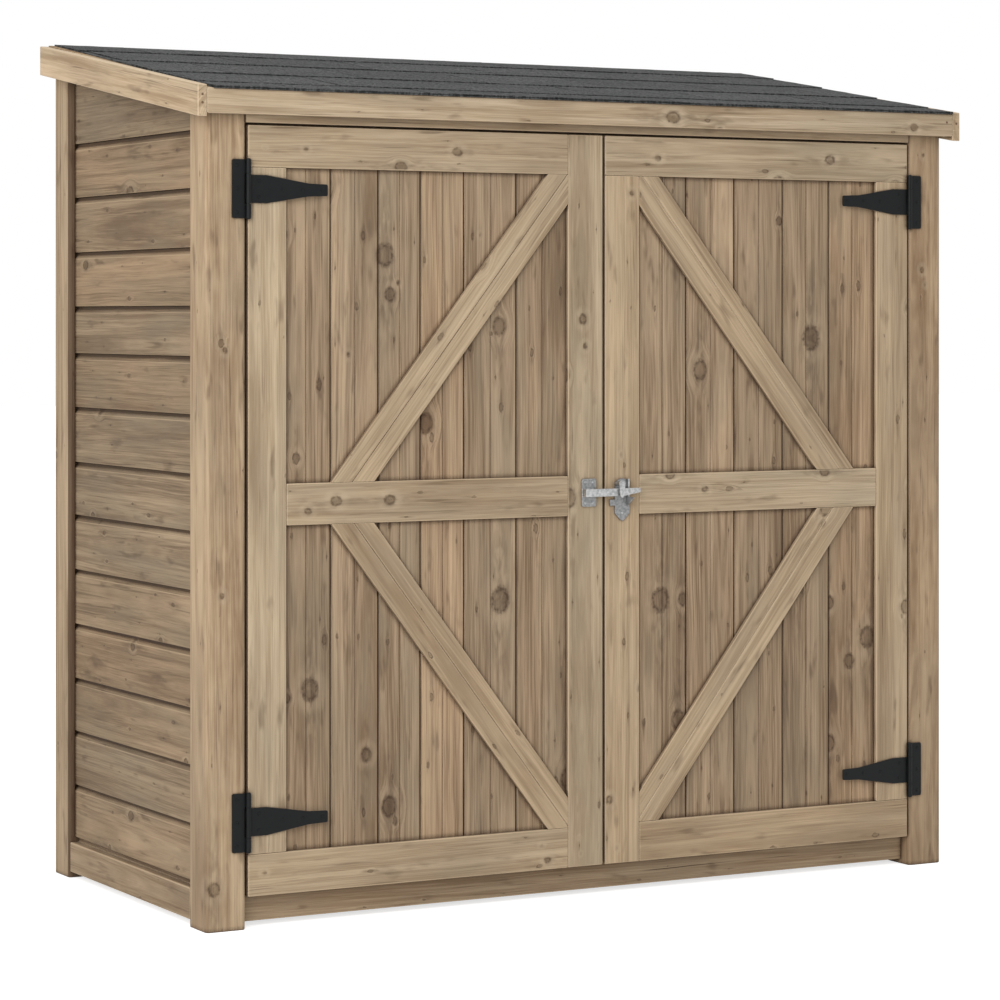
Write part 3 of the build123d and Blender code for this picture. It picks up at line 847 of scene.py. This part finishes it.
posts = [f"post_{end}_{side}" for end in ("front", "back") for side in ("left", "right")]
for node in posts:
    post = timber(node, arris=0.0025)
    # The faces that turn towards a wall, outside the boards, are darkened as painted shade of the corner
    mark_faces(post, lambda co, normal: abs(normal.y) > 0.35 and abs(co.y) < 0.43, -1.0)
    if "back" in node:
        mark_faces(post, lambda co, normal: abs(normal.x) > 0.9 and abs(co.x) < 0.94, -1.0)
for node in ("sill_front", "header_front", "bottom_rail_left", "bottom_rail_right", "bottom_rail_back"):
    timber(node, arris=0.0025)
timber("floor_bearers", shape=rake_bearer)
for node in ("door_stops", "beam_back", "roof_purlin"):
    timber(node)
for side, front_drop, back_drop in (("left", 0.0, 0.010), ("right", 0.003, 0.011)):
    barge = timber(f"barge_{side}", direction=DOWN_ROOF, shape=sag_barge(front_drop, back_drop))
    # The bargeboards' top faces are lightened as a painted highlight
    mark_faces(barge, lambda co, normal: normal.z > 0.8, 2.0)
timber("fascia_front")
for leaf in ("left_door", "right_door"):
    for member in ("top_rail", "middle_rail", "bottom_rail", "hinge_stile", "meeting_stile"):
        timber(f"{leaf}_{member}", arris=0.0022)
    timber(f"{leaf}_braces", arris=0.0022, direction=brace_direction)

# %% [markdown]
# ## Shiplap walls
#
# Each wall is a stack of horizontal boards. Every board's top edge slopes back and ends in a
# tongue that slips behind the next board, so rain runs off and a dark shadow line shows between
# boards. The left wall's slab is sawn into boards at the lines read from the photo, and the two
# walls that aren't seen are sawn at an even spacing that is close to theirs. On each board the
# top is cut twice more, and the outer points above the cuts are pushed in to make slope and tongue.

# %% Wall boards
SHADOW = 0.0070
SLOPE = 0.0090
RAIL_TOP, BOARD_PITCH, BOARD_COUNT = 0.098, 0.1304, 14
# The shadow lines of the left wall cross this column of the picture at these rows
LINE_COLUMN = 133.2
LINE_ROWS = [805.1, 749.1, 694.1, 637.6, 581.0, 524.1, 469.1, 412.0, 356.0, 307.5, 251.3, 194.3, 138.5]
LEFT_LINES = [carried(LINE_COLUMN, row, 0, WALL_FACE)[2] for row in LINE_ROWS]
EVEN_LINES = [RAIL_TOP + BOARD_PITCH * (count + 1) for count in range(BOARD_COUNT)]


def shiplap(node, lines, outward):
    """One wall of separate boards, shaped on the face that looks outward."""
    solid = copy_of(node, node + "_solid")
    face = max(point.co.dot(outward) for point in solid.data.vertices)
    top = max(point.co.z for point in solid.data.vertices)
    edges = [0.0] + [line + SHADOW / 2 for line in lines if line < top - 0.02] + [top + 1]
    boards = []
    for low, high in zip(edges, edges[1:]):
        board = slab(solid, node + "_board", Z_AXIS, low, high)
        if high < top:
            for place in (high - SHADOW - SLOPE, high - SHADOW):
                saw(board, Z_AXIS * place, Z_AXIS)
            bpy.ops.object.mode_set(mode="EDIT")
            pick(board, "VERT", lambda co: co.z > high - SHADOW - 1e-4 and co.dot(outward) > face - 1e-4)
            bpy.ops.transform.translate(value=-outward * SLOPE)
            bpy.ops.object.mode_set(mode="OBJECT")
        ease_edges(board, 0.0012, segments=1)
        # The tongue at the shadow line is darkened as painted shade
        mark_faces(board, lambda co, normal: high < top and co.z > high - SHADOW, -1.0)
        give_grain(board, along=Y_AXIS if abs(outward.x) > 0.5 else X_AXIS)
        boards.append(board)
    bpy.data.objects.remove(solid)
    print(node, "has", len(boards), "boards")
    return dress(joined(boards, node + "_shiplap"), node)


shiplap("wall_left", LEFT_LINES, -X_AXIS)
shiplap("wall_right", EVEN_LINES, X_AXIS)
shiplap("wall_back", EVEN_LINES, Y_AXIS)

# %% [markdown]
# ## Boards of the doors
#
# The leaves are filled with upright tongued boards. Their front edges are chamfered, so each
# joint is a V with one lit and one dark side, and a shallow groove runs down the middle of every
# board. The chamfers are a bevel on the two front edges; the groove is a cut down the middle,
# bevelled into three lines, with the middle one pushed in.

# %% Door boards
# The joints between the boards cross this row of the picture at these columns
JOINT_ROW = 350
LEFT_COLUMNS = [280.5, 330.8, 378.5, 420.7, 464.1, 516.5, 567.4]
RIGHT_COLUMNS = [638.0, 686.2, 734.4, 782.8, 828.9, 874.7]
JOINT_GAP = 0.0022
CHAMFER = 0.0030
GROOVE = 0.0019


def door_planks(node, columns):
    """Upright boards with V joints and a groove down the middle of each."""
    solid = copy_of(node, node + "_solid")
    places = places_of(solid)
    low_x, high_x, front = places[:, 0].min(), places[:, 0].max(), places[:, 1].min()
    edges = [low_x] + [carried(column, JOINT_ROW, 1, BOARD_FACE)[0] for column in columns] + [high_x]
    planks = []
    for left, right in zip(edges, edges[1:]):
        start = left if left == low_x else left + JOINT_GAP / 2
        stop = right if right == high_x else right - JOINT_GAP / 2
        plank = slab(solid, node + "_plank", X_AXIS, start, stop)
        centre = (start + stop) / 2
        saw(plank, X_AXIS * centre, X_AXIS)

        def upright(co, run):
            return co.y < front + 1e-4 and abs(run.z) > 0.9

        bpy.ops.object.mode_set(mode="EDIT")
        pick(plank, "EDGE", lambda co, run: upright(co, run) and abs(co.x - centre) > 1e-3)
        bpy.ops.mesh.bevel(offset=CHAMFER, segments=1)
        pick(plank, "EDGE", lambda co, run: upright(co, run) and abs(co.x - centre) < 1e-3)
        bpy.ops.mesh.bevel(offset=GROOVE, segments=2)
        pick(plank, "VERT", lambda co: co.y < front + 1e-4 and abs(co.x - centre) < 2e-4)
        bpy.ops.transform.translate(value=(0, GROOVE, 0))
        bpy.ops.object.mode_set(mode="OBJECT")
        ease_edges(plank, 0.0006, segments=1, angle=50)
        give_grain(plank, along=Z_AXIS)
        planks.append(plank)
    bpy.data.objects.remove(solid)
    print(node, "has", len(planks), "planks")
    return dress(joined(planks, node + "_planks"), node)


door_planks("left_door_boards", LEFT_COLUMNS)
door_planks("right_door_boards", RIGHT_COLUMNS)

# %% [markdown]
# ## Floor and roof boards
#
# Floor boards lie across the bearers, and the roof deck is made of boards laid along the roof.
# Both are seen only through the open doors or from below, but they are separate boards there too.

# %% Floor and deck
def boarded(node, direction, pitch, first):
    """A sheet sawn into boards along a direction, a pitch apart, with a millimetre between them."""
    solid = copy_of(node, node + "_solid")
    places = places_of(solid) @ np.array(direction)
    edges = [places.min()]
    place = first
    while place < places.max() - 0.01:
        edges.append(place)
        place += pitch
    edges.append(places.max())
    boards = []
    for low, high in zip(edges, edges[1:]):
        board = slab(solid, node + "_board", direction, low + 0.0005, high - 0.0005)
        ease_edges(board, 0.0012, segments=1)
        give_grain(board, along=X_AXIS)
        boards.append(board)
    bpy.data.objects.remove(solid)
    print(node, "has", len(boards), "boards")
    return dress(joined(boards, node + "_boards"), node)


boarded("floor", Y_AXIS, 0.12133, -0.364)
boarded("roof_deck", Y_AXIS, 0.1205, -0.350)

# %% [markdown]
# ## Felt in courses
#
# The felt is laid in overlapping courses that start at the eaves, each cut into tabs. A course is
# thick at its lower edge and slides under the next one, like a scale. Below them is a thin
# underlay. Each tab is subdivided and its points are nudged at random, because felt never lies
# quite flat.

# %% Felt courses
EAVES_Y, EAVES_TOP = -0.460, 1.867
COURSE_FRONTS = [-0.50, -0.392, -0.172, 0.078, 0.308]
TAB_WIDTH = 0.334


def roof_line(y):
    """Height of the roof's top line."""
    return EAVES_TOP + (y - EAVES_Y) * 153 / 920


def set_heights(piece, rule):
    """Moves each point of a felt piece to a new height above the roof's line, given by its place."""
    for point in piece.data.vertices:
        above = point.co.z - roof_line(point.co.y)
        point.co.z = roof_line(point.co.y) + rule(point.co, above > -0.0045)


whole_felt = copy_of("roof_felt", "felt_whole")
# On the left the felt stops short of the edge, and the bargeboard's top, pale with painted highlight, shows
# beside it
felt = slab(whole_felt, "felt_solid", X_AXIS, places_of(whole_felt)[:, 0].min() + 0.016, 9)
bpy.data.objects.remove(whole_felt)
underlay = twin(felt, "roof_felt_underlay")
set_heights(underlay, lambda co, on_top: -0.005 if on_top else -0.007)
give_grain(underlay)
store(underlay, "wear_and_painted_light", "FLOAT", "FACE", np.zeros(len(underlay.data.polygons)))
felt_low, felt_high = places_of(felt).min(axis=0), places_of(felt).max(axis=0)
tabs = []
for count, front in enumerate(COURSE_FRONTS):
    front = max(front, felt_low[1])
    back = felt_high[1] if count == len(COURSE_FRONTS) - 1 else COURSE_FRONTS[count + 1] + 0.035
    course = slab(felt, "felt_course", Y_AXIS, front, back)
    length = back - front
    seam = felt_low[0] - (0.14 + 0.17 * count) % TAB_WIDTH
    while seam < felt_high[0]:
        left, right = max(seam + 0.002, felt_low[0]), min(seam + TAB_WIDTH - 0.002, felt_high[0])
        seam += TAB_WIDTH
        if right - left < 0.02:
            continue
        tab = slab(course, "felt_tab", X_AXIS, left, right)
        lift = draw.uniform(0, 0.0007)
        set_heights(tab, lambda co, on_top: (
            (-0.0014 if on_top else -0.0038) + lift if co.y < front + 1e-4
            else (-0.0040 if on_top else -0.0050)))
        only(tab)
        bpy.ops.object.mode_set(mode="EDIT")
        bpy.ops.mesh.select_all(action="SELECT")
        bpy.ops.mesh.subdivide(number_cuts=5)
        bpy.ops.transform.vertex_random(offset=0.0005, uniform=0.4, normal=0.3, seed=draw.randrange(10000))
        bpy.ops.object.mode_set(mode="OBJECT")
        give_grain(tab)
        store(tab, "wear_and_painted_light", "FLOAT", "FACE", np.zeros(len(tab.data.polygons)))
        tabs.append(tab)
    bpy.data.objects.remove(course)
bpy.data.objects.remove(felt)
print("The roof has", len(tabs), "felt tabs in", len(COURSE_FRONTS), "courses")
dress(joined([underlay] + tabs, "roof_felt_courses"), "roof_felt")

# %% [markdown]
# ## Hinges and latch
#
# The metal parts already have their exact outline and bores in the frame. A copy gets a small
# bevel, which is what makes pressed metal catch the light, and smooth shading on its round parts.

# %% Metal pieces
LEAF_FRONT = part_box("left_door_top_rail")[0].y
RIVET = Vector((0.056, 0.0, 0.963))


def shape_keeper(keeper):
    """Folds away the cheek's upper horn and makes the rivet's head smaller, as in the photo."""
    move_points(keeper, lambda co: co.y < LEAF_FRONT - 0.012 and co.z > 0.9545 and co.x > 0.078,
                lambda co: Y_AXIS * (LEAF_FRONT - 0.010 - co.y))
    move_points(keeper, lambda co: co.y < LEAF_FRONT - 0.0281 and co.x < 0.070, lambda co: (
        Vector((RIVET.x - co.x, 0, RIVET.z - co.z)) * 0.22))


def shape_pawl(pawl):
    """Narrows the hanging tongue below its eye."""
    move_points(pawl, lambda co: co.z < 0.9505, lambda co: X_AXIS * (RIVET.x - co.x) * 0.35)


def ironwork(node, arris, name, shape=None):
    """A metal node with rounded arrises and smooth round parts, its latch plates duller than the rest."""
    piece = copy_of(node, name)
    if shape:
        shape(piece)
        only(piece)
        bpy.ops.object.mode_set(mode="EDIT")
        bpy.ops.mesh.select_all(action="SELECT")
        bpy.ops.mesh.remove_doubles(threshold=1e-5)
        bpy.ops.mesh.dissolve_degenerate()
        bpy.ops.mesh.normals_make_consistent(inside=False)
        bpy.ops.object.mode_set(mode="OBJECT")
    ease_edges(piece, arris, segments=2, angle=35)
    proud = np.clip((LEAF_FRONT - places_of(piece)[:, 1] - 0.0035) / 0.004, 0, 1)
    store(piece, "tone", "FLOAT", "POINT", proud if node.startswith("latch") else np.ones(len(proud)))
    only(piece)
    bpy.ops.object.shade_smooth_by_angle(angle=math.radians(40))
    weighting = piece.modifiers.new("weighting", "WEIGHTED_NORMAL")
    weighting.keep_sharp = True
    bpy.ops.object.modifier_apply(modifier="weighting")
    return dress(piece, node)


for side in ("left", "right"):
    ironwork(f"hinge_plates_{side}", 0.0007, f"hinge_plates_{side}_iron")
    ironwork(f"hinge_straps_{side}", 0.0007, f"hinge_straps_{side}_iron")
ironwork("latch_striker", 0.0007, "latch_striker_plated")
ironwork("latch_keeper", 0.0005, "latch_keeper_plated", shape_keeper)
ironwork("latch_pawl", 0.0005, "latch_pawl_plated", shape_pawl)
metal_pieces = [piece.name for piece in bpy.data.objects if piece.name.endswith(("_iron", "_plated"))]
print("Metal pieces:", metal_pieces)

# %% [markdown]
# ## Screws and nails
#
# A domed screw head starts as a flattened ball cut in half, with a cross pressed in. One is
# modelled, and every other is a copy with its own mesh that is moved to its place.

# %% Fasteners
def domed_head(radius, rise):
    """A domed screw head that looks along minus Y, with a cross slot, at the origin."""
    bpy.ops.mesh.primitive_uv_sphere_add(segments=16, ring_count=8, radius=radius, location=(0, 0, 0))
    head = bpy.context.view_layer.objects.active
    head.name = "screw_pattern"
    bpy.ops.object.mode_set(mode="EDIT")
    bpy.ops.mesh.select_all(action="SELECT")
    bpy.ops.transform.resize(value=(1, rise / radius, 1))
    bpy.ops.mesh.bisect(plane_co=(0, 0.0002, 0), plane_no=(0, 1, 0), use_fill=True, clear_outer=True)
    for direction in (X_AXIS, Z_AXIS):
        for side in (-1, 1):
            bpy.ops.mesh.select_all(action="SELECT")
            bpy.ops.mesh.bisect(plane_co=direction * side * radius * 0.14, plane_no=direction)
    pick(head, "FACE", lambda co, normal: normal.y < 0 and max(abs(co.x), abs(co.z)) < radius * 0.62
         and min(abs(co.x), abs(co.z)) < radius * 0.14)
    bpy.ops.transform.translate(value=(0, rise * 0.45, 0))
    bpy.ops.object.mode_set(mode="OBJECT")
    head.data.materials.clear()
    return head


def nail_head(radius, rise):
    """A flat round nail head with an eased rim that looks along minus Y."""
    bpy.ops.mesh.primitive_cylinder_add(vertices=14, radius=radius, depth=rise, location=(0, 0, 0))
    head = bpy.context.view_layer.objects.active
    head.name = "nail_pattern"
    bpy.ops.object.mode_set(mode="EDIT")
    bpy.ops.mesh.select_all(action="SELECT")
    bpy.ops.transform.rotate(value=math.pi / 2, orient_axis="X", center_override=(0, 0, 0))
    pick(head, "EDGE", lambda co, run: co.y < 0 and abs(run.y) < 0.1)
    bpy.ops.mesh.bevel(offset=rise * 0.45, segments=2)
    bpy.ops.object.mode_set(mode="OBJECT")
    return head


def fasten(pattern, places, name, body, slot, finish=None):
    """Copies a head to each place, joins them and hangs them on a body."""
    heads = []
    for count, place in enumerate(places):
        head = twin(pattern, f"{name}_{count}")
        only(head)
        bpy.ops.object.mode_set(mode="EDIT")
        bpy.ops.mesh.select_all(action="SELECT")
        bpy.ops.transform.rotate(value=draw.uniform(0, math.pi), orient_axis="Y", center_override=(0, 0, 0))
        bpy.ops.transform.translate(value=place)
        bpy.ops.object.mode_set(mode="OBJECT")
        heads.append(head)
    whole = joined(heads, name)
    bpy.ops.object.shade_smooth_by_angle(angle=math.radians(35))
    whole.data.materials.clear()
    whole.data.materials.append(finishes[finish or slot])
    store(whole, "tone", "FLOAT", "POINT", np.ones(len(whole.data.vertices)))
    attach(whole, body)
    print(name, "has", len(heads), "heads")


screw = domed_head(0.0042, 0.0018)
small_screw = domed_head(0.0032, 0.0014)
nail = nail_head(0.0027, 0.0012)
PIN_X, HINGE_HEIGHTS, LATCH_HEIGHT = 0.8915, [0.237, 1.636], 0.943
SCREW_Y = LEAF_FRONT - 0.003
PLATE_SCREWS = [(0.026, -0.052), (0.026, 0.0), (0.026, 0.052)]
STRAP_SCREWS = [(0.028, 0.018), (0.028, -0.018), (0.085, 0.0), (0.135, 0.0), (0.183, 0.0)]
for side, sign in (("left", -1), ("right", 1)):
    for part, body, way, holes in (
            ("plate", "shed", 1, PLATE_SCREWS), ("strap", f"{side}_door", -1, STRAP_SCREWS)):
        screws = [(sign * (PIN_X + way * run), SCREW_Y, height + rise)
                  for height in HINGE_HEIGHTS for run, rise in holes]
        fasten(screw, screws, f"hinge_{part}_screws_{side}", body, "black_iron")
striker_screws = [(x, SCREW_Y, LATCH_HEIGHT + rise) for rise in (-0.0245, 0.0245) for x in (-0.030, -0.010)]
fasten(small_screw, striker_screws, "latch_striker_screws", "left_door", "galvanised_steel")
keeper_screws = [(0.074, SCREW_Y, 0.961), (0.070, SCREW_Y, 0.893)]
fasten(small_screw, keeper_screws, "latch_keeper_screws", "right_door", "galvanised_steel")
EAVES_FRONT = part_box("fascia_front")[0].y
EAVES_NAILS = [(-1.013, 1.8395), (-1.013, 1.8215), (1.014, 1.831), (0.985, 1.8335)]
nail_places = [(x, EAVES_FRONT, height) for x, height in EAVES_NAILS]
fasten(nail, nail_places, "eaves_nails", "shed", "galvanised_steel", finish="rusty_nail")
for pattern in (screw, small_screw, nail):
    bpy.data.objects.remove(pattern)

# %% [markdown]
# ## Floor, light and camera
#
# The picture is a studio shot on white. A soft sky of even light does most of the work, a large
# lamp from the front left gives the gentle shading, and the white that the camera sees comes from
# the colour of floor and sky alone. The camera is level, at standing height, with a long lens
# that is shifted up rather than tilted, so that upright edges stay upright.

# %% Floor and sky
def seen_directly(tree):
    """1 for the rays of the camera, of mirrors and of glass, 0 for the rays that carry soft light."""
    rays = put(tree, "ShaderNodeLightPath").outputs
    seen = sum_of(tree, "MAXIMUM", rays["Is Camera Ray"], rays["Is Glossy Ray"])
    return sum_of(tree, "MAXIMUM", seen, rays["Is Transmission Ray"])


bpy.ops.mesh.primitive_plane_add(size=80, location=(0, 0, 0))
floor_plane = bpy.context.view_layer.objects.active
floor_plane.name = "studio_floor"
floor_material = bpy.data.materials.new("studio_floor")
floor_material.use_nodes = True
tree = floor_material.node_tree
tree.nodes.clear()
matt = put(tree, "ShaderNodeBsdfDiffuse", {"Color": (0.80, 0.80, 0.80, 1.0)})
glow = put(tree, "ShaderNodeEmission", {"Color": (1, 1, 1, 1), "Strength": 0.70})
both = put(tree, "ShaderNodeAddShader", {0: matt.outputs[0], 1: glow.outputs[0]})
seen = seen_directly(tree)
choice = put(tree, "ShaderNodeMixShader", {0: seen, 1: matt.outputs[0], 2: both.outputs[0]})
put(tree, "ShaderNodeOutputMaterial", {"Surface": choice.outputs[0]})
floor_plane.data.materials.append(floor_material)
floor_plane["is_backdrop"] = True

world = bpy.data.worlds.new("studio_sky")
bpy.context.scene.world = world
world.use_nodes = True
tree = world.node_tree
tree.nodes.clear()
soft = put(tree, "ShaderNodeBackground", {"Color": (1, 1, 1, 1), "Strength": 0.65})
white = put(tree, "ShaderNodeBackground", {"Color": (1, 1, 1, 1), "Strength": 1.0})
seen = seen_directly(tree)
choice = put(tree, "ShaderNodeMixShader", {0: seen, 1: soft.outputs[0], 2: white.outputs[0]})
put(tree, "ShaderNodeOutputWorld", {"Surface": choice.outputs[0]})

# %% Lamp and camera
def soft_lamp(name, place, target, size, power):
    """A square area lamp that looks at a point."""
    bpy.ops.object.light_add(type="AREA", location=place)
    lamp = bpy.context.view_layer.objects.active
    lamp.name = name
    lamp.data.size = size
    lamp.data.energy = power
    lamp.rotation_euler = (Vector(target) - Vector(place)).to_track_quat("-Z", "Y").to_euler()


soft_lamp("key_lamp", (-4.8, -4.0, 3.2), (0, 0, 0.9), 4.5, 212)

bpy.ops.object.camera_add(location=CAMERA_PLACE, rotation=(math.pi / 2, 0, -CAMERA_TURN))
camera = bpy.context.view_layer.objects.active
camera.name = "studio_camera"
camera.data.sensor_width = SENSOR
camera.data.lens = LENS
camera.data.shift_y = LENS_SHIFT
bpy.context.scene.camera = camera
bpy.context.scene.view_settings.view_transform = "Standard"

# %% Sizes, and the end
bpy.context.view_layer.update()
triangles = {piece.name: sum(len(face.vertices) - 2 for face in piece.data.polygons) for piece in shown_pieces()}
most = max(triangles, key=triangles.get)
print("Pieces:", len(triangles), "triangles:", sum(triangles.values()), "most:", most, triangles[most])
